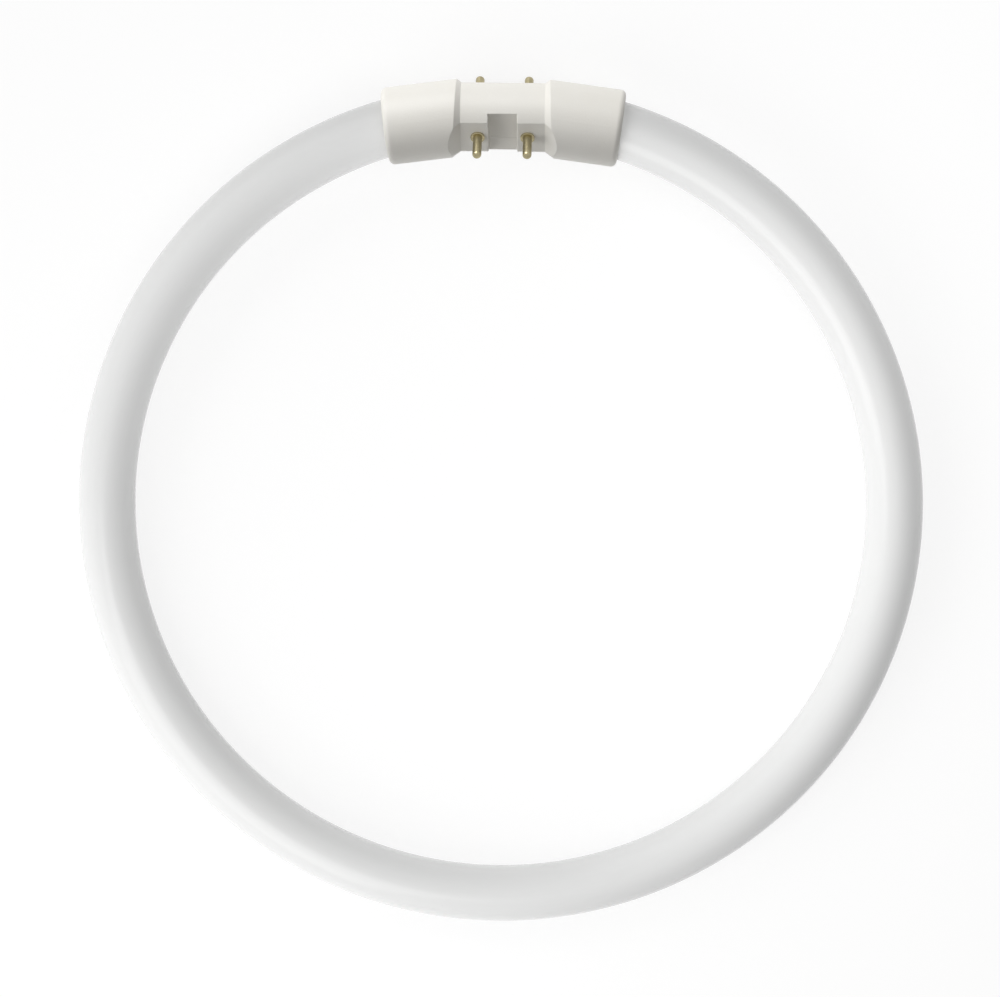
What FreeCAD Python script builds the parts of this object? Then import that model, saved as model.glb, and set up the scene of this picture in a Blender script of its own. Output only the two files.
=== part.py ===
import math
import os

import FreeCAD
import Part

Vec = FreeCAD.Vector

# Ring-shaped fluorescent lamp lying flat. Millimetres, ring plane at Z = 0,
# ring centre at the origin, bridge cap on the +Y side.

# Glass ring
ring_outer_dia = 225.0
tube_dia = 15.0
tube_end_gap = 35.2
tube_end_round = 3.0
exhaust_dia = 3.6
exhaust_length = 5.0

# Bridge cap: a narrower middle between two sloping collars
cap_drop = 1.4
middle_dia = 17.9
middle_length = 22.0
shoulder_height = 1.15
collar_drop = 0.15
collar_slope_deg = 7.4
collar_length = 20.1
collar_overlap = 3.0
shoulder_deg = 36.0
waist_overcut = 2.0
shoulder_round = 0.3
mouth_round = 1.5

# Pin flats and the keyway between the pins
pin_angle_deg = 45.0
flat_depth = 1.55
flat_ramp_deg = 45.0
keyway_width = 7.5
keyway_depth = 3.7
keyway_end_wall = 2.45
keyway_side_wall = 0.8
keyway_floor_wall = 1.2
edge_round = 0.25

# Shell walls and fits
cavity_wall = 1.8
flat_wall = 1.6
tube_clearance = 0.15
tube_end_room = 1.2
bore_run_in = 2.6
peg_dia = 1.4
peg_height = 2.0
peg_clearance = 0.05
peg_depth_clearance = 0.3
pillar_dia = 3.4
pillar_x = 10.4
collar_peg_station = 10.5

# Contact pins
pin_pitch = 13.0
pin_dia = 2.35
pin_reach = 7.3
pin_tip_flat_dia = 0.35
flange_dia = 3.7
flange_thickness = 0.5
flange_chamfer = 0.12
bead_dia = 3.0
bead_thickness = 0.6
tail_length = 0.6
pin_hole_clearance = 0.02
wire_seat_depth = 1.5

# Lead-in wires
wire_dia = 0.8
wire_clearance = 0.02
wire_spread = 3.2
wire_bend = 1.6

# Sizes that follow from the ones above
ring_radius = (ring_outer_dia - tube_dia) / 2
tube_radius = tube_dia / 2
end_angle = math.degrees(math.asin(tube_end_gap / 2 / ring_radius))
cap_centre = Vec(0, ring_radius - cap_drop, 0)
middle_radius = middle_dia / 2
collar_radius = middle_radius + shoulder_height
flat_distance = middle_radius - flat_depth
keyway_floor = flat_distance - keyway_depth
keyway_closed_end = middle_radius - keyway_end_wall
slope = math.radians(collar_slope_deg)
cavity_radius = middle_radius - cavity_wall
cavity_depth = flat_distance - flat_wall
web_half_width = keyway_width / 2 + keyway_side_wall
web_gap = keyway_floor - keyway_floor_wall
bore_radius = tube_radius + tube_clearance
pin_radius = pin_dia / 2
pin_tip_round = pin_radius - pin_tip_flat_dia / 2
pin_x = pin_pitch / 2
tail_end = cavity_depth - bead_thickness - tail_length
tip_end = flat_distance + pin_reach
far = 6 * collar_radius

# Local frame of the cap: x along the bridge, z along the front pins
cap_frame = FreeCAD.Placement(cap_centre, FreeCAD.Rotation(Vec(1, 0, 0), 90 - pin_angle_deg))


def lathe(outline):
    """Solid of revolution about the X axis from (x, radius) points."""
    points = [Vec(x, r, 0) for x, r in outline]
    face = Part.Face(Part.makePolygon(points + [points[0]]))
    return face.revolve(Vec(0, 0, 0), Vec(1, 0, 0), 360)


def slab(low, high):
    """Box between two corner points."""
    return Part.makeBox(high[0] - low[0], high[1] - low[1], high[2] - low[2], Vec(*low))


def ring_segment(radius, start_deg, sweep_deg):
    """Round bar bent along the ring, starting at an angle clockwise from +Y."""
    circle = Part.Wire(Part.makeCircle(radius, Vec(0, ring_radius, 0), Vec(1, 0, 0)))
    face = Part.Face(circle)
    face.rotate(Vec(0, 0, 0), Vec(0, 0, 1), -start_deg)
    return face.revolve(Vec(0, 0, 0), Vec(0, 0, 1), -sweep_deg)


def at_circle(shape, radius, centre):
    """Circular edges of a given radius about a given centre."""
    found = []
    for edge in shape.Edges:
        curve = edge.Curve
        if isinstance(curve, Part.Circle):
            if abs(curve.Radius - radius) < 1e-4 and curve.Center.distanceToPoint(centre) < 1e-3:
                found.append(edge)
    return found


def in_cap(shape):
    """A copy moved from the cap's local frame to the lamp's frame."""
    moved = shape.copy()
    moved.Placement = cap_frame.multiply(moved.Placement)
    return moved


def left_of(shape):
    """The same shape on the other end of the bridge."""
    return shape.mirror(Vec(0, 0, 0), Vec(1, 0, 0))


def only_solid(shape):
    """The single solid of a boolean result, free of the compound around it."""
    solids = sorted(shape.Solids, key=lambda solid: solid.Volume)
    return solids[-1].copy()


# Glass ring: one bent tube with rounded ends and a sealed exhaust stub at each end.
tube = ring_segment(tube_radius, end_angle, 360 - 2 * end_angle)
end_turn = math.radians(end_angle)
end_centre = Vec(ring_radius * math.sin(end_turn), ring_radius * math.cos(end_turn), 0)
end_out = Vec(-math.cos(end_turn), math.sin(end_turn), 0)
end_radial = Vec(math.sin(end_turn), math.cos(end_turn), 0)
left_centre = Vec(-end_centre.x, end_centre.y, 0)
end_edges = at_circle(tube, tube_radius, end_centre) + at_circle(tube, tube_radius, left_centre)
tube = tube.makeFillet(tube_end_round, end_edges)
exhaust_radius = exhaust_dia / 2
stub_start = end_centre - end_out * 1.0
stub = Part.makeCylinder(exhaust_radius, exhaust_length + 1.0, stub_start, end_out)
stub = stub.fuse(Part.makeSphere(exhaust_radius, end_centre + end_out * exhaust_length))
tube = tube.fuse([stub, left_of(stub)])
glass_tube = only_solid(tube)

# Collar: round sleeve on its own tilted axis, with a rounded mouth.
collar = Part.makeCylinder(
    collar_radius, collar_length + collar_overlap, Vec(-collar_overlap, 0, 0), Vec(1, 0, 0)
)
mouth_edges = at_circle(collar, collar_radius, Vec(collar_length, 0, 0))
collar = only_solid(collar.makeFillet(mouth_round, mouth_edges))
collar_start = cap_centre + Vec(middle_length / 2, -collar_drop, 0)
collar_axis = Vec(math.cos(slope), -math.sin(slope), 0)
collar.Placement = FreeCAD.Placement(
    collar_start, FreeCAD.Rotation(Vec(0, 0, 1), -collar_slope_deg)
)

# Outside of the cap: collars joined by a core, a turned waist with rounded shoulders,
# then the pin flats and keyways.
core_half = middle_length / 2 - 1.0
core_radius = middle_radius + shoulder_height / 2
core = Part.makeCylinder(
    core_radius, 2 * core_half, cap_centre - Vec(core_half, 0, 0), Vec(1, 0, 0)
)
core.rotate(cap_centre, Vec(1, 0, 0), 90)
outside = only_solid(core.fuse([collar, left_of(collar)]))
flat_half = middle_length / 2
waist_depth = shoulder_height + waist_overcut
waist_run = waist_depth / math.tan(math.radians(shoulder_deg))
waist = lathe(
    [
        (-flat_half, middle_radius),
        (flat_half, middle_radius),
        (flat_half + waist_run, middle_radius + waist_depth),
        (-flat_half - waist_run, middle_radius + waist_depth),
    ]
)
outside = only_solid(outside.cut(in_cap(waist)))
shoulder_edges = []
for edge in outside.Edges:
    middle = edge.valueAt((edge.FirstParameter + edge.LastParameter) / 2)
    spot = Vec(abs(middle.x), middle.y, middle.z)
    on_collar = abs(spot.distanceToLine(collar_start, collar_axis) - collar_radius) < 1e-3
    near_middle = flat_half < spot.x < flat_half + collar_length / 2
    if on_collar and near_middle and not isinstance(edge.Curve, Part.Line):
        shoulder_edges.append(edge)
outside = only_solid(outside.makeFillet(shoulder_round, shoulder_edges))
ramp_rise = collar_radius
ramp_run = ramp_rise / math.tan(math.radians(flat_ramp_deg))
flat_outline = [
    Vec(-flat_half, -far, flat_distance),
    Vec(flat_half, -far, flat_distance),
    Vec(flat_half + ramp_run, -far, flat_distance + ramp_rise),
    Vec(-flat_half - ramp_run, -far, flat_distance + ramp_rise),
]
flat_face = Part.Face(Part.makePolygon(flat_outline + [flat_outline[0]]))
front_flat = flat_face.extrude(Vec(0, 2 * far, 0))
rear_flat = front_flat.mirror(Vec(0, 0, 0), Vec(0, 0, 1))
key_half = keyway_width / 2
front_key = slab((-key_half, -far, keyway_floor), (key_half, keyway_closed_end, far))
rear_key = slab((-key_half, -far, -far), (key_half, keyway_closed_end, -keyway_floor))
cutters = [in_cap(cutter) for cutter in (front_flat, rear_flat, front_key, rear_key)]
outside = only_solid(outside.cut(cutters))

# The keyway mouths are slightly rounded.
key_edges = []
for edge in outside.Edges:
    middle = edge.valueAt((edge.FirstParameter + edge.LastParameter) / 2)
    spot = cap_frame.inverse().multVec(middle)
    above_floor = abs(spot.z) > keyway_floor + 1e-3
    on_side = abs(abs(spot.x) - key_half) < 1e-3
    on_end = abs(spot.y - keyway_closed_end) < 1e-3
    if above_floor and on_side != on_end and abs(spot.x) < key_half + 1e-3:
        key_edges.append(edge)
outside = only_solid(outside.makeFillet(edge_round, key_edges))

# Inside of the cap: wire chamber with a web behind the keyways, and the two tube bores.
chamber_half = tube_end_gap / 2 - tube_end_room
chamber = Part.makeCylinder(
    cavity_radius, 2 * chamber_half, Vec(-chamber_half, 0, 0), Vec(1, 0, 0)
)
chamber = chamber.common(slab((-far, -far, -cavity_depth), (far, far, cavity_depth)))
web_front = slab((-web_half_width, -far, web_gap), (web_half_width, far, far))
web_rear = slab((-web_half_width, -far, -far), (web_half_width, far, -web_gap))
chamber = in_cap(only_solid(chamber.cut([web_front, web_rear])))
pillar = Part.makeCylinder(
    pillar_dia / 2, 2 * far, cap_centre + Vec(pillar_x, cavity_radius, -far), Vec(0, 0, 1)
)
chamber = only_solid(chamber.cut([pillar, left_of(pillar)]))
bore_start = math.degrees(math.asin((tube_end_gap / 2 - bore_run_in) / ring_radius))
bore_sweep = math.degrees(2.5 * collar_length / ring_radius)
bore = ring_segment(bore_radius, bore_start, bore_sweep)
pin_hole = Part.makeCylinder(
    pin_radius + pin_hole_clearance, far, Vec(pin_x, 0, 0), Vec(0, 0, 1)
)
pin_hole = only_solid(pin_hole.common(slab((-far, -far, web_gap), (far, far, far))))
pin_hole_rear = pin_hole.mirror(Vec(0, 0, 0), Vec(0, 0, 1))
holes = [in_cap(hole) for hole in (pin_hole, pin_hole_rear)]
voids = [chamber, bore, left_of(bore)] + holes + [left_of(hole) for hole in holes]
cap_body = only_solid(outside.cut(voids))

# The cap splits at the ring plane into two shells, located by four pegs.
upper_half = slab((-far, 0, 0), (far, 2 * ring_radius, far))
lower_half = slab((-far, 0, -far), (far, 2 * ring_radius, 0))
peg_radius = peg_dia / 2
station = collar_start + collar_axis * collar_peg_station
station_angle = math.asin(station.x / ring_radius)
bore_inner = (ring_radius - bore_radius) * math.cos(station_angle)
collar_inner = station.y - collar_radius / math.cos(slope)
peg_spots = [
    Vec(station.x, (bore_inner + collar_inner) / 2, 0),
    cap_centre + Vec(pillar_x, cavity_radius - 0.2, 0),
]
pegs = []
sockets = []
for spot in peg_spots:
    peg = Part.makeCylinder(peg_radius, peg_height + 1.0, spot - Vec(0, 0, 1.0), Vec(0, 0, 1))
    socket = Part.makeCylinder(
        peg_radius + peg_clearance, peg_height + peg_depth_clearance, spot, Vec(0, 0, 1)
    )
    pegs += [peg, left_of(peg)]
    sockets += [socket, left_of(socket)]
front_shell = only_solid(cap_body.common(upper_half).cut(sockets))
rear_shell = only_solid(cap_body.common(lower_half).fuse(pegs))

# Contact pin: turned shaft with a flange outside, a swaged bead inside and a wire seat.
bead_radius = bead_dia / 2
flange_radius = flange_dia / 2
flange_top = flat_distance + flange_thickness
bead_start = cavity_depth - bead_thickness
pin_solid = lathe(
    [
        (tail_end, 0),
        (tail_end, pin_radius),
        (bead_start, pin_radius),
        (bead_start, bead_radius),
        (cavity_depth, bead_radius),
        (cavity_depth, pin_radius),
        (flat_distance, pin_radius),
        (flat_distance, flange_radius),
        (flange_top - flange_chamfer, flange_radius),
        (flange_top, flange_radius - flange_chamfer),
        (flange_top, pin_radius),
        (tip_end, pin_radius),
        (tip_end, 0),
    ]
)
pin_solid = pin_solid.makeFillet(
    pin_tip_round, at_circle(pin_solid, pin_radius, Vec(tip_end, 0, 0))
)
wire_radius = wire_dia / 2
wire_seat = Part.makeCylinder(
    wire_radius + wire_clearance, wire_seat_depth, Vec(tail_end, 0, 0), Vec(1, 0, 0)
)
pin_solid = only_solid(pin_solid.cut(wire_seat))
pin_solid.rotate(Vec(0, 0, 0), Vec(0, 1, 0), -90)
pin_solid.translate(Vec(pin_x, 0, 0))
pin_front_right = only_solid(in_cap(pin_solid))
pin_rear_right = only_solid(in_cap(pin_solid.mirror(Vec(0, 0, 0), Vec(0, 0, 1))))
pin_front_left = only_solid(left_of(pin_front_right))
pin_rear_left = only_solid(left_of(pin_rear_right))


def lead_wire(side):
    """Round wire from the glass end to the seat in a pin; side is +1 front, -1 rear."""
    tilt = math.radians(pin_angle_deg)
    spread = side * wire_spread
    start = end_centre - end_radial * (spread * math.cos(tilt))
    start = start + Vec(0, 0, spread * math.sin(tilt))
    bend_start = cap_frame.multVec(Vec(pin_x + wire_bend, 0, side * (tail_end - wire_bend)))
    bend_end = cap_frame.multVec(Vec(pin_x, 0, side * tail_end))
    seat_end = cap_frame.multVec(Vec(pin_x, 0, side * (tail_end + wire_seat_depth - 0.1)))
    run_out = end_out
    run_in = (seat_end - bend_end).normalize()
    route = Part.BSplineCurve()
    route.interpolate(
        Points=[start, bend_start, bend_end],
        InitialTangent=run_out,
        FinalTangent=run_in,
    )
    spine = Part.Wire([route.toShape(), Part.makeLine(bend_end, seat_end)])
    section = Part.Wire(Part.makeCircle(wire_radius, start, run_out))
    return spine.makePipeShell([section], True, True)


wire_front_right = only_solid(lead_wire(1))
wire_rear_right = only_solid(lead_wire(-1))
wire_front_left = only_solid(left_of(wire_front_right))
wire_rear_left = only_solid(left_of(wire_rear_right))

nodes = {
    "glass_tube": glass_tube,
    "cap_shell_front": front_shell,
    "cap_shell_rear": rear_shell,
    "pin_front_left": pin_front_left,
    "pin_front_right": pin_front_right,
    "pin_rear_left": pin_rear_left,
    "pin_rear_right": pin_rear_right,
    "lead_wire_front_left": wire_front_left,
    "lead_wire_front_right": wire_front_right,
    "lead_wire_rear_left": wire_rear_left,
    "lead_wire_rear_right": wire_rear_right,
}

os.makedirs("parts", exist_ok=True)
for node, shape in nodes.items():
    shape.exportStep("parts/" + node + ".step")
    box = shape.BoundBox
    print(
        node,
        "valid" if shape.isValid() else "NOT VALID",
        "volume %.1f" % shape.Volume,
        "x %.2f..%.2f" % (box.XMin, box.XMax),
        "y %.2f..%.2f" % (box.YMin, box.YMax),
        "z %.2f..%.2f" % (box.ZMin, box.ZMax),
    )
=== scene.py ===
import math

import bpy
from mathutils import Matrix, Vector


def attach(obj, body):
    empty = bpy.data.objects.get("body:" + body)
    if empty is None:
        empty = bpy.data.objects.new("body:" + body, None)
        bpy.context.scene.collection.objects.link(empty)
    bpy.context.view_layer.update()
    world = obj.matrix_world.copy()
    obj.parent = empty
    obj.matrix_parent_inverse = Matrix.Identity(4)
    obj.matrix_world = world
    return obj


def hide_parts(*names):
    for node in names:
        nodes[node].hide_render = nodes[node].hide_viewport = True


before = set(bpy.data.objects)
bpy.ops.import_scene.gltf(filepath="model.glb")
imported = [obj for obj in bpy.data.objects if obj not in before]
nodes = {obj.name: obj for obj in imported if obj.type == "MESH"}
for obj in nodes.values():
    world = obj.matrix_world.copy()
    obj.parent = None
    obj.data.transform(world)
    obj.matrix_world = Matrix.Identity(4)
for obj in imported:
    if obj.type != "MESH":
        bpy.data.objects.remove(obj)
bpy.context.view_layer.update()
scene = bpy.context.scene
scene.view_settings.view_transform = "Standard"
print("frame loaded with", len(nodes), "nodes")

ringMiddle = (0.0, 0.0, 0.0)
capMiddle = (0.0, 0.1036, 0.0)
nodeSpacing = (220, -200)   # in the node editor


def addNode(tree, kind, column=0, row=0, **settings):
    node = tree.nodes.new(kind)
    node.location = (nodeSpacing[0] * column, nodeSpacing[1] * row)
    for key, value in settings.items():
        setattr(node, key, value)
    return node


def join(tree, output, target):
    tree.links.new(output, target)


def mathNode(tree, operation, first, second=None, column=0, row=0):
    node = addNode(tree, "ShaderNodeMath", column, row, operation=operation)
    for socket, value in zip(node.inputs, (first, second)):
        if isinstance(value, (int, float)):
            socket.default_value = value
        elif value is not None:
            join(tree, value, socket)
    return node.outputs[0]


def rangeNode(tree, value, source, target, column=0, row=0, smooth=False):
    node = addNode(tree, "ShaderNodeMapRange", column, row)
    if smooth:
        node.interpolation_type = "SMOOTHSTEP"
    join(tree, value, node.inputs["Value"])
    for name, number in zip(("From Min", "From Max", "To Min", "To Max"), (*source, *target)):
        node.inputs[name].default_value = number
    return node.outputs["Result"]


def colourMix(tree, factor, first, second, column=0, row=0):
    node = addNode(tree, "ShaderNodeMix", column, row, data_type="RGBA")
    sockets = [s for s in node.inputs if s.enabled]
    for socket, value in zip(sockets, (factor, first, second)):
        if isinstance(value, bpy.types.NodeSocket):
            join(tree, value, socket)
        else:
            socket.default_value = (*value, 1.0)
    return [s for s in node.outputs if s.enabled][0]


def newGroup(name, kind, inputs, outputs):
    group = bpy.data.node_groups.new(name, kind)
    for label, socketKind, value in inputs:
        socket = group.interface.new_socket(name=label, in_out="INPUT", socket_type=socketKind)
        if value is not None:
            socket.default_value = value
    for label, socketKind in outputs:
        group.interface.new_socket(name=label, in_out="OUTPUT", socket_type=socketKind)
    return group, addNode(group, "NodeGroupInput", -4), addNode(group, "NodeGroupOutput", 6)


# uneven tone: wide clouds and fine grain, both from 0 to 1, and a blend of the two
toneNoise = {
    "clouds": {"scaleInput": "Cloud Scale", "detail": 3.0, "roughness": 0.55, "spread": (0.3, 0.7)},
    "grain": {"scaleInput": "Grain Scale", "detail": 4.0, "roughness": 0.65, "spread": (0.25, 0.75)},
}


def makeUnevenTone(values):
    group, given, result = newGroup(
        "unevenTone",
        "ShaderNodeTree",
        [
            ("Vector", "NodeSocketVector", None),
            ("Cloud Scale", "NodeSocketFloat", 50.0),
            ("Grain Scale", "NodeSocketFloat", 2000.0),
            ("Grain Share", "NodeSocketFloat", 0.5),
        ],
        [("Grain", "NodeSocketFloat"), ("Blend", "NodeSocketFloat")],
    )
    masks = {}
    for row, (name, noiseValues) in enumerate(values.items()):
        noise = addNode(group, "ShaderNodeTexNoise", -2, 2 * row)
        noise.inputs["Detail"].default_value = noiseValues["detail"]
        noise.inputs["Roughness"].default_value = noiseValues["roughness"]
        join(group, given.outputs["Vector"], noise.inputs["Vector"])
        join(group, given.outputs[noiseValues["scaleInput"]], noise.inputs["Scale"])
        level = noise.outputs["Fac"]
        masks[name] = rangeNode(group, level, noiseValues["spread"], (0.0, 1.0), 0, 2 * row)
    fineShare = mathNode(group, "MULTIPLY", masks["grain"], given.outputs["Grain Share"], 2, 2)
    rest = mathNode(group, "SUBTRACT", 1.0, given.outputs["Grain Share"], 1, 1)
    wideShare = mathNode(group, "MULTIPLY", masks["clouds"], rest, 2, 0)
    both = mathNode(group, "ADD", wideShare, fineShare, 4, 1)
    join(group, masks["grain"], result.inputs["Grain"])
    join(group, both, result.inputs["Blend"])
    return group


# settled dust: sparse specks, only on faces that look up
dustSpecks = {
    "speckScale": 900.0,
    "speckSize": (0.06, 0.16),     # share of a cell, solid to gone
    "patchScale": 70.0,
    "patchSpread": (0.5, 0.7),
    "upward": (0.2, 0.8),          # how far a face looks up
}


def makeSettledDust(values):
    group, given, result = newGroup(
        "settledDust",
        "ShaderNodeTree",
        [
            ("Vector", "NodeSocketVector", None),
            ("Speck Scale", "NodeSocketFloat", values["speckScale"]),
            ("Amount", "NodeSocketFloat", 0.3),
        ],
        [("Mask", "NodeSocketFloat")],
    )
    specks = addNode(group, "ShaderNodeTexVoronoi", -2, 0)
    join(group, given.outputs["Vector"], specks.inputs["Vector"])
    join(group, given.outputs["Speck Scale"], specks.inputs["Scale"])
    dots = rangeNode(group, specks.outputs["Distance"], values["speckSize"], (1.0, 0.0), 0, 0, True)
    patches = addNode(group, "ShaderNodeTexNoise", -2, 2)
    patches.inputs["Scale"].default_value = values["patchScale"]
    join(group, given.outputs["Vector"], patches.inputs["Vector"])
    thin = rangeNode(group, patches.outputs["Fac"], values["patchSpread"], (0.0, 1.0), 0, 2)
    geometry = addNode(group, "ShaderNodeNewGeometry", -2, 4)
    split = addNode(group, "ShaderNodeSeparateXYZ", -1, 4)
    join(group, geometry.outputs["Normal"], split.inputs[0])
    upward = rangeNode(group, split.outputs["Z"], values["upward"], (0.0, 1.0), 0, 4, True)
    spots = mathNode(group, "MULTIPLY", dots, thin, 2, 1)
    lying = mathNode(group, "MULTIPLY", spots, upward, 3, 2)
    mask = mathNode(group, "MULTIPLY", lying, given.outputs["Amount"], 4, 2)
    join(group, mask, result.inputs["Mask"])
    return group


unevenTone = makeUnevenTone(toneNoise)
settledDust = makeSettledDust(dustSpecks)
print("shared effects built")


def newMaterial(name):
    material = bpy.data.materials.new(name)
    material.use_nodes = True
    tree = material.node_tree
    shader = tree.nodes["Principled BSDF"]
    shader.location = (nodeSpacing[0] * 8, 0)
    tree.nodes["Material Output"].location = (nodeSpacing[0] * 10, 0)
    return material, tree, shader


def useGroup(tree, group, vector, column, row, values):
    node = addNode(tree, "ShaderNodeGroup", column, row, node_tree=group)
    join(tree, vector, node.inputs["Vector"])
    for key, value in values.items():
        node.inputs[key].default_value = value
    return node


def useTone(tree, vector, values):
    scales = {"Cloud Scale": "cloudScale", "Grain Scale": "grainScale", "Grain Share": "grainShare"}
    given = {socket: values[key] for socket, key in scales.items()}
    return useGroup(tree, unevenTone, vector, -1, 0, given)


def useDust(tree, vector, values):
    return useGroup(tree, settledDust, vector, -1, 2, {"Amount": values["dustAmount"]})


def addBump(tree, height, strength, distance, under=None):
    bump = addNode(tree, "ShaderNodeBump", 5, 4)
    bump.inputs["Strength"].default_value = strength
    bump.inputs["Distance"].default_value = distance
    join(tree, height, bump.inputs["Height"])
    if under is not None:
        join(tree, under, bump.inputs["Normal"])
    return bump.outputs["Normal"]


def setSockets(shader, values):
    for name, value in values.items():
        shader.inputs[name].default_value = value


# white powder behind clear glass: matt base under a glossy coat
coatedGlass = {
    "powderPale": (0.872, 0.874, 0.868),
    "powderDeep": (0.836, 0.839, 0.834),
    "dust": (0.62, 0.61, 0.59),
    "cloudScale": 38.0,
    "grainScale": 1500.0,
    "grainShare": 0.35,
    "drainStretch": 0.12,   # coating marks run along the tube
    "waveScale": 26.0,      # slow waves that bending leaves in the glass
    "waveDetail": 1.0,
    "waveStrength": 1.0,
    "waveHeight": 0.00012,
    "baseRoughness": (0.5, 0.58),
    "baseGloss": 0.15,
    "coatWeight": 1.0,
    "coatRoughness": 0.2,
    "coatIndex": 1.5,
    "dustAmount": 0.25,
}


def makeCoatedGlass(values):
    material, tree, shader = newMaterial("coatedGlass")
    unrolled = addNode(tree, "ShaderNodeAttribute", -3, 0, attribute_name="unrolled").outputs["Vector"]
    stretch = addNode(tree, "ShaderNodeMapping", -2, 0)
    stretch.inputs["Scale"].default_value = (1.0, 1.0, values["drainStretch"])
    join(tree, unrolled, stretch.inputs["Vector"])
    tone = useTone(tree, stretch.outputs["Vector"], values)
    dust = useDust(tree, unrolled, values)
    powder = colourMix(tree, tone.outputs["Blend"], values["powderDeep"], values["powderPale"], 2, 0)
    colour = colourMix(tree, dust.outputs["Mask"], powder, values["dust"], 4, 0)
    join(tree, colour, shader.inputs["Base Color"])
    rough = rangeNode(tree, tone.outputs["Grain"], (0.0, 1.0), values["baseRoughness"], 3, 2)
    join(tree, rough, shader.inputs["Roughness"])
    waves = addNode(tree, "ShaderNodeTexNoise", 0, 4)
    waves.inputs["Scale"].default_value = values["waveScale"]
    waves.inputs["Detail"].default_value = values["waveDetail"]
    join(tree, unrolled, waves.inputs["Vector"])
    wavy = addBump(tree, waves.outputs["Fac"], values["waveStrength"], values["waveHeight"])
    join(tree, wavy, shader.inputs["Normal"])
    join(tree, wavy, shader.inputs["Coat Normal"])
    setSockets(
        shader,
        {
            "Specular IOR Level": values["baseGloss"],
            "Coat Weight": values["coatWeight"],
            "Coat Roughness": values["coatRoughness"],
            "Coat IOR": values["coatIndex"],
        },
    )
    return material


# satin ivory plastic with a moulding seam in the ring's plane
ivoryPlastic = {
    "pale": (0.83, 0.814, 0.768),
    "deep": (0.796, 0.774, 0.718),
    "seam": (0.5, 0.47, 0.4),
    "dust": (0.6, 0.58, 0.54),
    "cloudScale": 55.0,
    "grainScale": 2400.0,
    "grainShare": 0.4,
    "roughness": (0.36, 0.48),
    "gloss": 0.45,
    "reliefStrength": 0.5,
    "grainHeight": 0.000035,
    "seamHalfWidth": (0.00007, 0.0002),
    "seamReach": (0.0072, 0.0078),   # from the cap's middle: the keyways have no seam
    "keywaySide": (0.0038, 0.004),   # half the keyway's width
    "seamDepth": 1.4,                # in grain heights
    "edgeSoftness": 0.00022,
    "edgeSamples": 6,
    "dustAmount": 0.3,
}


def addSeam(tree, place, values):
    split = addNode(tree, "ShaderNodeSeparateXYZ", -2, 4)
    join(tree, place, split.inputs[0])
    height = mathNode(tree, "ABSOLUTE", split.outputs["Z"], None, -1, 4)
    line = rangeNode(tree, height, values["seamHalfWidth"], (1.0, 0.0), 0, 4, True)
    aside = mathNode(tree, "SUBTRACT", split.outputs["Y"], capMiddle[1], -1, 5)
    reach = mathNode(tree, "ABSOLUTE", aside, None, 0, 5)
    outer = rangeNode(tree, reach, values["seamReach"], (0.0, 1.0), 1, 5)
    sideways = mathNode(tree, "ABSOLUTE", split.outputs["X"], None, 0, 6)
    beside = rangeNode(tree, sideways, values["keywaySide"], (0.0, 1.0), 1, 6)
    shown = mathNode(tree, "MAXIMUM", outer, beside, 2, 6)
    return mathNode(tree, "MULTIPLY", line, shown, 2, 5)


def makeIvoryPlastic(values):
    material, tree, shader = newMaterial("ivoryPlastic")
    place = addNode(tree, "ShaderNodeTexCoord", -3, 0).outputs["Object"]
    tone = useTone(tree, place, values)
    dust = useDust(tree, place, values)
    seam = addSeam(tree, place, values)
    plastic = colourMix(tree, tone.outputs["Blend"], values["deep"], values["pale"], 2, 0)
    dusty = colourMix(tree, dust.outputs["Mask"], plastic, values["dust"], 3, 0)
    colour = colourMix(tree, seam, dusty, values["seam"], 4, 0)
    join(tree, colour, shader.inputs["Base Color"])
    rough = rangeNode(tree, tone.outputs["Blend"], (0.0, 1.0), values["roughness"], 3, 2)
    join(tree, rough, shader.inputs["Roughness"])
    groove = mathNode(tree, "MULTIPLY", seam, values["seamDepth"], 2, 4)
    relief = mathNode(tree, "SUBTRACT", tone.outputs["Grain"], groove, 3, 4)
    soft = addNode(tree, "ShaderNodeBevel", 3, 6, samples=values["edgeSamples"])
    soft.inputs["Radius"].default_value = values["edgeSoftness"]
    rounded = soft.outputs["Normal"]
    grained = addBump(tree, relief, values["reliefStrength"], values["grainHeight"], rounded)
    join(tree, grained, shader.inputs["Normal"])
    setSockets(shader, {"Specular IOR Level": values["gloss"]})
    return material


# turned brass: fine rings round the pin, dulled in patches
turnedBrass = {
    "bright": (0.53, 0.465, 0.285),
    "dull": (0.31, 0.275, 0.17),
    "pinAxis": (0.0, -0.70710678, 0.70710678),
    "ringScale": 7000.0,
    "ringDetail": 2.0,
    "cloudScale": 420.0,
    "grainScale": 5200.0,
    "grainShare": 0.3,
    "wearSpread": (0.3, 1.6),       # of the patches and rings added up
    "roughness": (0.26, 0.46),      # bright, dull
    "reliefStrength": 0.5,
    "ringHeight": 0.00001,
    "metallic": 1.0,
}


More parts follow.
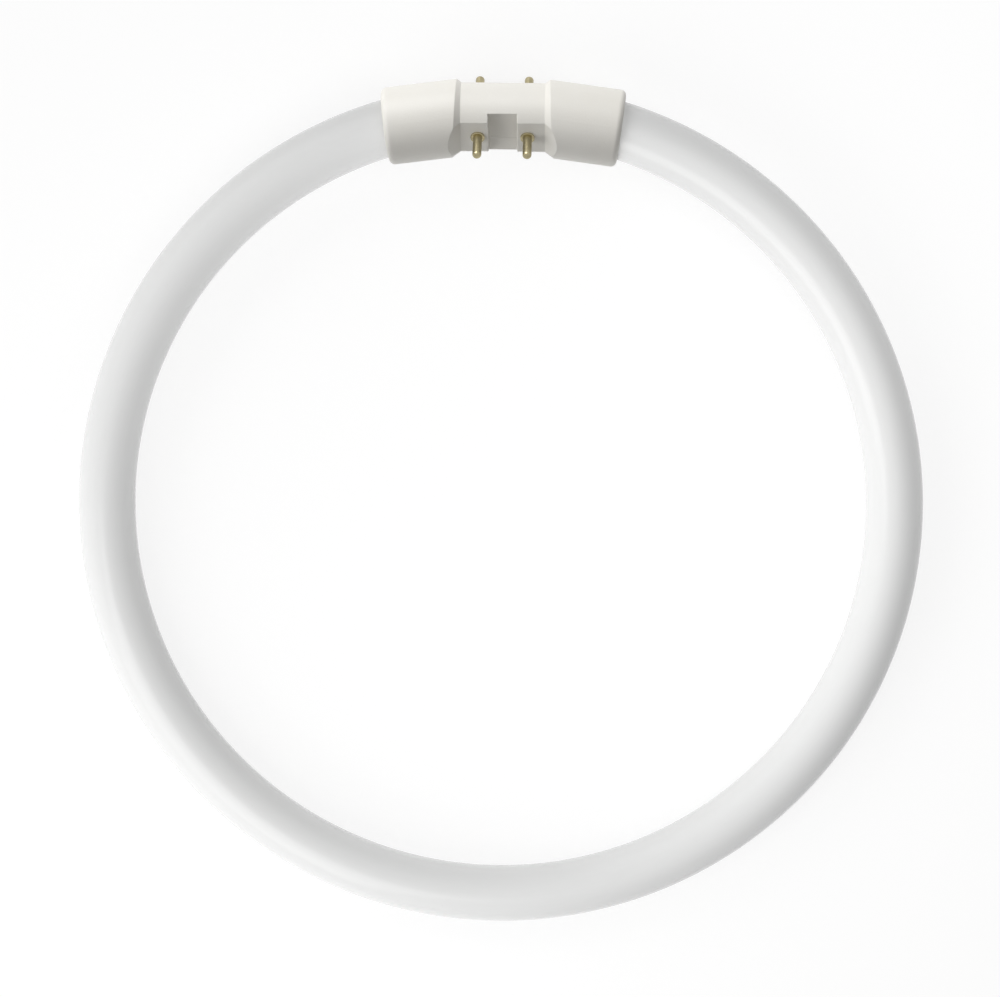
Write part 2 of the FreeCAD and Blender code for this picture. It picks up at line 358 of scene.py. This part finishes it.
def makeTurnedBrass(values):
    material, tree, shader = newMaterial("turnedBrass")
    place = addNode(tree, "ShaderNodeTexCoord", -3, 0).outputs["Object"]
    tone = useTone(tree, place, values)
    along = addNode(tree, "ShaderNodeVectorMath", -2, 3, operation="DOT_PRODUCT")
    along.inputs[1].default_value = values["pinAxis"]
    join(tree, place, along.inputs[0])
    rings = addNode(tree, "ShaderNodeTexNoise", -1, 3, noise_dimensions="1D")
    rings.inputs["Scale"].default_value = values["ringScale"]
    rings.inputs["Detail"].default_value = values["ringDetail"]
    join(tree, along.outputs["Value"], rings.inputs["W"])
    colour = colourMix(tree, tone.outputs["Blend"], values["dull"], values["bright"], 2, 0)
    join(tree, colour, shader.inputs["Base Color"])
    wear = mathNode(tree, "ADD", tone.outputs["Blend"], rings.outputs["Fac"], 1, 2)
    rough = rangeNode(tree, wear, values["wearSpread"], values["roughness"][::-1], 3, 2)
    join(tree, rough, shader.inputs["Roughness"])
    turned = addBump(tree, rings.outputs["Fac"], values["reliefStrength"], values["ringHeight"])
    join(tree, turned, shader.inputs["Normal"])
    setSockets(shader, {"Metallic": values["metallic"]})
    return material


# drawn nickel-plated wire, inside the cap
nickelWire = {
    "bright": (0.64, 0.63, 0.6),
    "dull": (0.46, 0.45, 0.43),
    "cloudScale": 600.0,
    "grainScale": 6000.0,
    "grainShare": 0.4,
    "roughness": (0.25, 0.42),
    "metallic": 1.0,
}


def makeNickelWire(values):
    material, tree, shader = newMaterial("nickelWire")
    place = addNode(tree, "ShaderNodeTexCoord", -3, 0).outputs["Object"]
    tone = useTone(tree, place, values)
    colour = colourMix(tree, tone.outputs["Blend"], values["dull"], values["bright"], 2, 0)
    join(tree, colour, shader.inputs["Base Color"])
    rough = rangeNode(tree, tone.outputs["Grain"], (0.0, 1.0), values["roughness"], 3, 2)
    join(tree, rough, shader.inputs["Roughness"])
    setSockets(shader, {"Metallic": values["metallic"]})
    return material


glassMaterial = makeCoatedGlass(coatedGlass)
plasticMaterial = makeIvoryPlastic(ivoryPlastic)
brassMaterial = makeTurnedBrass(turnedBrass)
wireMaterial = makeNickelWire(nickelWire)
print("materials built")

# cap, pins and wires keep their CAD shapes
finishes = {"cap_shell": plasticMaterial, "pin_": brassMaterial, "lead_wire": wireMaterial}
for name, piece in nodes.items():
    for start, material in finishes.items():
        if name.startswith(start):
            piece.data.materials.clear()
            piece.data.materials.append(material)
print("cap, pins and wires finished")

# ring tube: a round bar bent along an arc, ends rounded over, a sealed stub on each end
ringTube = {
    "ringRadius": 0.105,    # to the tube's centre line
    "tubeRadius": 0.0075,
    "endGap": 0.0352,       # straight across, between the ends
    "endRound": 0.003,
    "stubRadius": 0.0018,
    "stubLength": 0.0068,
    "stubSteps": 48,
    "stepsAlong": 720,
    "stepsAround": 64,
}
smallestSquare = 1e-9       # keeps the stub's tip from closing to a point


# height of a quarter round at a distance from its start
def quarterRound(tree, radius, distance, least, column, row):
    short = mathNode(tree, "SUBTRACT", radius, distance, column, row)
    depth = mathNode(tree, "MAXIMUM", short, 0.0, column + 1, row)
    depthSquared = mathNode(tree, "MULTIPLY", depth, depth, column + 2, row)
    radiusSquared = mathNode(tree, "MULTIPLY", radius, radius, column + 1, row + 1)
    chord = mathNode(tree, "SUBTRACT", radiusSquared, depthSquared, column + 3, row)
    safe = mathNode(tree, "MAXIMUM", chord, least, column + 4, row)
    return mathNode(tree, "SQRT", safe, None, column + 5, row)


def sweepSkin(tree, curve, profile, section, column, row):
    skin = addNode(tree, "GeometryNodeCurveToMesh", column, row)
    skin.inputs["Fill Caps"].default_value = True
    join(tree, curve, skin.inputs["Curve"])
    join(tree, profile, skin.inputs["Profile Curve"])
    join(tree, section, skin.inputs["Scale"])
    return skin.outputs["Mesh"]


def addRingArc(tree, inputs):
    arc = addNode(tree, "GeometryNodeCurveArc", 0, 0, mode="RADIUS")
    join(tree, inputs["Steps Along"], arc.inputs["Resolution"])
    join(tree, inputs["Ring Radius"], arc.inputs["Radius"])
    start = mathNode(tree, "ADD", inputs["End Angle"], math.pi / 2, -1, 1)
    join(tree, start, arc.inputs["Start Angle"])
    bothEnds = mathNode(tree, "MULTIPLY", inputs["End Angle"], 2.0, -2, 2)
    sweep = mathNode(tree, "SUBTRACT", 2 * math.pi, bothEnds, -1, 2)
    join(tree, sweep, arc.inputs["Sweep Angle"])
    return arc.outputs["Curve"]


# the bar itself, with its arc length kept for marks that run along it
def addBar(tree, inputs, arc, profile, along, left):
    nearest = mathNode(tree, "MINIMUM", along, left, -1, 4)
    rise = quarterRound(tree, inputs["End Round"], nearest, 0.0, 0, 4)
    core = mathNode(tree, "SUBTRACT", inputs["Tube Radius"], inputs["End Round"], 4, 5)
    section = mathNode(tree, "ADD", core, rise, 6, 4)
    keep = addNode(tree, "GeometryNodeStoreNamedAttribute", 2, 0, data_type="FLOAT", domain="POINT")
    keep.inputs["Name"].default_value = "arcLength"
    join(tree, arc, keep.inputs["Geometry"])
    join(tree, along, keep.inputs["Value"])
    return sweepSkin(tree, keep.outputs["Geometry"], profile, section, 7, 0)


# sealed stubs on the two ends, pointing out of the tube
def addStubs(tree, inputs, arc, profile, left):
    ends = addNode(tree, "GeometryNodeCurveEndpointSelection", 2, 7)
    tangent = addNode(tree, "GeometryNodeInputTangent", 2, 8).outputs["Tangent"]
    factor = addNode(tree, "GeometryNodeSplineParameter", 1, 9).outputs["Factor"]
    outward = mathNode(tree, "MULTIPLY_ADD", factor, 2.0, 2, 9)   # from -1 to 1 along the arc
    outward.node.inputs[2].default_value = -1.0
    turned = addNode(tree, "ShaderNodeVectorMath", 3, 8, operation="SCALE")
    join(tree, tangent, turned.inputs[0])
    join(tree, outward, turned.inputs["Scale"])
    aim = addNode(tree, "FunctionNodeAlignRotationToVector", 4, 8, axis="Z")
    join(tree, turned.outputs["Vector"], aim.inputs["Vector"])
    line = addNode(tree, "GeometryNodeCurvePrimitiveLine", 2, 10, mode="DIRECTION")
    line.inputs["Direction"].default_value = (0.0, 0.0, 1.0)
    join(tree, inputs["Stub Length"], line.inputs["Length"])
    steps = addNode(tree, "GeometryNodeResampleCurve", 3, 10, mode="COUNT")
    join(tree, inputs["Stub Steps"], steps.inputs["Count"])
    join(tree, line.outputs["Curve"], steps.inputs["Curve"])
    section = quarterRound(tree, inputs["Stub Radius"], left, smallestSquare, 3, 11)
    stub = sweepSkin(tree, steps.outputs["Curve"], profile, section, 9, 10)
    stubs = addNode(tree, "GeometryNodeInstanceOnPoints", 10, 8)
    join(tree, arc, stubs.inputs["Points"])
    join(tree, ends.outputs["Selection"], stubs.inputs["Selection"])
    join(tree, stub, stubs.inputs["Instance"])
    join(tree, aim.outputs["Rotation"], stubs.inputs["Rotation"])
    return stubs.outputs["Instances"]


# the surface's place on the tube as if it were straight
def addUnrolled(tree, inputs):
    position = addNode(tree, "GeometryNodeInputPosition", 9, 3).outputs["Position"]
    split = addNode(tree, "ShaderNodeSeparateXYZ", 10, 3)
    join(tree, position, split.inputs[0])
    flat = addNode(tree, "ShaderNodeCombineXYZ", 11, 4)
    join(tree, split.outputs["X"], flat.inputs["X"])
    join(tree, split.outputs["Y"], flat.inputs["Y"])
    reach = addNode(tree, "ShaderNodeVectorMath", 12, 4, operation="LENGTH")
    join(tree, flat.outputs["Vector"], reach.inputs[0])
    aside = mathNode(tree, "SUBTRACT", reach.outputs["Value"], inputs["Ring Radius"], 13, 4)
    arcLength = addNode(tree, "GeometryNodeInputNamedAttribute", 12, 5, data_type="FLOAT")
    arcLength.inputs["Name"].default_value = "arcLength"
    unrolled = addNode(tree, "ShaderNodeCombineXYZ", 14, 3)
    join(tree, aside, unrolled.inputs["X"])
    join(tree, split.outputs["Z"], unrolled.inputs["Y"])
    join(tree, arcLength.outputs["Attribute"], unrolled.inputs["Z"])
    return unrolled.outputs["Vector"]


def makeRingTree():
    tree, given, result = newGroup(
        "ringTube",
        "GeometryNodeTree",
        [
            ("Geometry", "NodeSocketGeometry", None),
            ("Ring Radius", "NodeSocketFloat", 0.1),
            ("Tube Radius", "NodeSocketFloat", 0.01),
            ("End Angle", "NodeSocketFloat", 0.2),
            ("End Round", "NodeSocketFloat", 0.002),
            ("Stub Radius", "NodeSocketFloat", 0.002),
            ("Stub Length", "NodeSocketFloat", 0.005),
            ("Stub Steps", "NodeSocketInt", 32),
            ("Steps Along", "NodeSocketInt", 256),
            ("Steps Around", "NodeSocketInt", 32),
            ("Material", "NodeSocketMaterial", None),
        ],
        [("Geometry", "NodeSocketGeometry")],
    )
    inputs = given.outputs
    arc = addRingArc(tree, inputs)
    profile = addNode(tree, "GeometryNodeCurvePrimitiveCircle", 2, 2, mode="RADIUS")
    profile.inputs["Radius"].default_value = 1.0   # the sections scale it
    join(tree, inputs["Steps Around"], profile.inputs["Resolution"])
    along = addNode(tree, "GeometryNodeSplineParameter", -3, 4).outputs["Length"]
    total = addNode(tree, "GeometryNodeSplineLength", -3, 5).outputs["Length"]
    left = mathNode(tree, "SUBTRACT", total, along, -2, 5)
    bar = addBar(tree, inputs, arc, profile.outputs["Curve"], along, left)
    stubs = addStubs(tree, inputs, arc, profile.outputs["Curve"], left)
    together = addNode(tree, "GeometryNodeJoinGeometry", 11, 0)
    join(tree, bar, together.inputs["Geometry"])
    join(tree, stubs, together.inputs["Geometry"])
    real = addNode(tree, "GeometryNodeRealizeInstances", 12, 0)
    join(tree, together.outputs["Geometry"], real.inputs["Geometry"])
    mark = addNode(
        tree, "GeometryNodeStoreNamedAttribute", 15, 0, data_type="FLOAT_VECTOR", domain="POINT"
    )
    mark.inputs["Name"].default_value = "unrolled"
    join(tree, real.outputs["Geometry"], mark.inputs["Geometry"])
    join(tree, addUnrolled(tree, inputs), mark.inputs["Value"])
    smooth = addNode(tree, "GeometryNodeSetShadeSmooth", 16, 0)
    join(tree, mark.outputs["Geometry"], smooth.inputs["Geometry"])
    finish = addNode(tree, "GeometryNodeSetMaterial", 17, 0)
    join(tree, smooth.outputs["Geometry"], finish.inputs["Geometry"])
    join(tree, inputs["Material"], finish.inputs["Material"])
    result.location = (nodeSpacing[0] * 18, 0)
    join(tree, finish.outputs["Geometry"], result.inputs["Geometry"])
    return tree


def runTree(name, tree, values):
    piece = bpy.data.objects.new(name, bpy.data.meshes.new(name))
    scene.collection.objects.link(piece)
    modifier = piece.modifiers.new("build", "NODES")
    modifier.node_group = tree
    for item in tree.interface.items_tree:
        if item.item_type == "SOCKET" and item.in_out == "INPUT" and item.name in values:
            modifier[item.identifier] = values[item.name]
    piece.update_tag()
    bpy.context.view_layer.update()
    evaluated = piece.evaluated_get(bpy.context.evaluated_depsgraph_get())
    made = bpy.data.meshes.new_from_object(evaluated)
    piece.modifiers.clear()
    piece.data = made
    return piece


tube = runTree(
    "ringTube",
    makeRingTree(),
    {
        "Ring Radius": ringTube["ringRadius"],
        "Tube Radius": ringTube["tubeRadius"],
        "End Angle": math.asin(ringTube["endGap"] / 2 / ringTube["ringRadius"]),
        "End Round": ringTube["endRound"],
        "Stub Radius": ringTube["stubRadius"],
        "Stub Length": ringTube["stubLength"],
        "Stub Steps": ringTube["stubSteps"],
        "Steps Along": ringTube["stepsAlong"],
        "Steps Around": ringTube["stepsAround"],
        "Material": glassMaterial,
    },
)
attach(tube, "root")
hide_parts("glass_tube")
print("ring tube built with", len(tube.data.polygons), "faces")


# 1 where the camera, a reflection or a see-through ray looks, 0 where light is gathered
def addSeen(tree):
    rays = addNode(tree, "ShaderNodeLightPath", -2, 0).outputs
    direct = mathNode(tree, "MAXIMUM", rays["Is Camera Ray"], rays["Is Glossy Ray"], -1, 0)
    return mathNode(tree, "MAXIMUM", direct, rays["Is Transmission Ray"], 0, 0)


# pale floor, tipped so that the rear pins and the far side of the ring rest on it
floorBoard = {
    "size": 8.0,
    "pinTouch": (0.11316, -0.01081),   # along Y and Z
    "tubeTouch": (-0.105, -0.0075),
    "bounce": (0.87, 0.87, 0.87),      # what it gives back to the tube and cap
    "seenDiffuse": (0.24, 0.24, 0.24),
    "seenGlow": 0.8,
}


def makePaleFloor(values):
    material = bpy.data.materials.new("paleFloor")
    material.use_nodes = True
    tree = material.node_tree
    tree.nodes.clear()
    plain = addNode(tree, "ShaderNodeBsdfDiffuse", 0, 1)
    plain.inputs["Color"].default_value = (*values["bounce"], 1.0)
    pale = addNode(tree, "ShaderNodeBsdfDiffuse", 0, 2)
    pale.inputs["Color"].default_value = (*values["seenDiffuse"], 1.0)
    glow = addNode(tree, "ShaderNodeEmission", 0, 3)
    glow.inputs["Strength"].default_value = values["seenGlow"]
    shown = addNode(tree, "ShaderNodeAddShader", 1, 2)
    join(tree, pale.outputs[0], shown.inputs[0])
    join(tree, glow.outputs[0], shown.inputs[1])
    choose = addNode(tree, "ShaderNodeMixShader", 2, 1)
    join(tree, addSeen(tree), choose.inputs[0])
    join(tree, plain.outputs[0], choose.inputs[1])
    join(tree, shown.outputs[0], choose.inputs[2])
    output = addNode(tree, "ShaderNodeOutputMaterial", 3, 1)
    join(tree, choose.outputs[0], output.inputs["Surface"])
    return material


def makeFloor(values):
    half = values["size"] / 2
    pinY, pinZ = values["pinTouch"]
    tubeY, tubeZ = values["tubeTouch"]
    slope = (pinZ - tubeZ) / (pinY - tubeY)
    level = tubeZ - slope * tubeY
    corners = [
        (x * half, y * half, level + slope * y * half)
        for x, y in ((-1, -1), (1, -1), (1, 1), (-1, 1))
    ]
    mesh = bpy.data.meshes.new("floorBoard")
    mesh.from_pydata(corners, [], [(0, 1, 2, 3)])
    mesh.materials.append(makePaleFloor(values))
    floor = bpy.data.objects.new("floorBoard", mesh)
    scene.collection.objects.link(floor)
    return floor


floor = makeFloor(floorBoard)

# soft light all round, white where the camera looks past the floor
surround = {"light": 0.295, "seen": 1.0}


def makeSurround(values):
    world = bpy.data.worlds.new("surround")
    scene.world = world
    world.use_nodes = True
    tree = world.node_tree
    tree.nodes.clear()
    level = rangeNode(tree, addSeen(tree), (0.0, 1.0), (values["light"], values["seen"]), 1, 0)
    background = addNode(tree, "ShaderNodeBackground", 2, 0)
    join(tree, level, background.inputs["Strength"])
    output = addNode(tree, "ShaderNodeOutputWorld", 3, 0)
    join(tree, background.outputs[0], output.inputs["Surface"])


makeSurround(surround)

# softboxes for the tube and floor: only the near one is mirrored in the glass
tubeSoftboxes = {
    "lowSoftbox": {
        "toward": (-0.80, -0.50, 0.32),
        "distance": 1.9,
        "size": 1.5,
        "radiance": 2.08,
        "mirrored": False,
    },
    "nearSoftbox": {
        "toward": (-0.165, -0.195, 0.265),
        "distance": 0.37,
        "size": 0.28,
        "radiance": 1.56,
        "mirrored": True,
    },
    "highSoftbox": {
        "toward": (-0.62, 0.64, 0.45),
        "distance": 1.6,
        "size": 1.2,
        "radiance": 2.0,
        "mirrored": False,
    },
    "fillSoftbox": {
        "toward": (0.13, 0.085, 0.22),
        "distance": 0.27,
        "size": 0.2,
        "radiance": 1.52,
        "mirrored": False,
    },
    "footSoftbox": {
        "toward": (-0.04, -0.95, 0.32),
        "distance": 0.36,
        "size": 0.2,
        "radiance": 0.77,
        "mirrored": False,
    },
}

# softboxes for the cap, its pins and wires
capSoftboxes = {
    "capSoftbox": {
        "toward": (-0.35, 0.68, 0.50),
        "distance": 0.9,
        "size": 0.6,
        "radiance": 6.1,
        "mirrored": True,
    },
    "capFill": {
        "toward": (-0.66, -0.36, 0.44),
        "distance": 0.9,
        "size": 0.6,
        "radiance": 1.95,
        "mirrored": False,
    },
}


def makeSoftbox(name, values, target, receivers):
    data = bpy.data.lights.new(name, "AREA")
    data.shape = "SQUARE"
    data.size = values["size"]
    data.energy = values["radiance"] * math.pi * values["size"] ** 2
    lamp = bpy.data.objects.new(name, data)
    scene.collection.objects.link(lamp)
    direction = Vector(values["toward"]).normalized()
    lamp.location = Vector(target) + direction * values["distance"]
    lamp.rotation_euler = direction.to_track_quat("Z", "Y").to_euler()
    lamp.visible_glossy = values["mirrored"]
    lit = bpy.data.collections.new(name + "Lit")
    for piece in receivers:
        lit.objects.link(piece)
    lamp.light_linking.receiver_collection = lit


capPieces = [piece for name, piece in nodes.items() if name != "glass_tube"]
for name, values in tubeSoftboxes.items():
    makeSoftbox(name, values, ringMiddle, [tube, floor])
for name, values in capSoftboxes.items():
    makeSoftbox(name, values, capMiddle, capPieces)
print("floor and lights placed")

# camera: looks down on the ring from above the cap, as in the photo
viewpoint = {
    "place": (0.02044712593, 0.09641090946, 0.73801059589),
    "yaw": 1.57536697,      # all three in degrees
    "pitch": -7.22047856,
    "roll": 0.58270258,
    "lens": 100.4923,
    "sensor": 36.0,
    "clip": (0.01, 50.0),
}


def makeCamera(values):
    data = bpy.data.cameras.new("photoView")
    data.sensor_width = values["sensor"]
    data.lens = values["lens"]
    data.clip_start, data.clip_end = values["clip"]
    camera = bpy.data.objects.new("photoView", data)
    scene.collection.objects.link(camera)
    turn = Matrix.Rotation(math.radians(values["yaw"]), 4, "Y")
    turn = turn @ Matrix.Rotation(math.radians(values["pitch"]), 4, "X")
    turn = turn @ Matrix.Rotation(math.radians(values["roll"]), 4, "Z")
    camera.matrix_world = Matrix.Translation(values["place"]) @ turn
    scene.camera = camera


makeCamera(viewpoint)
print("camera placed")
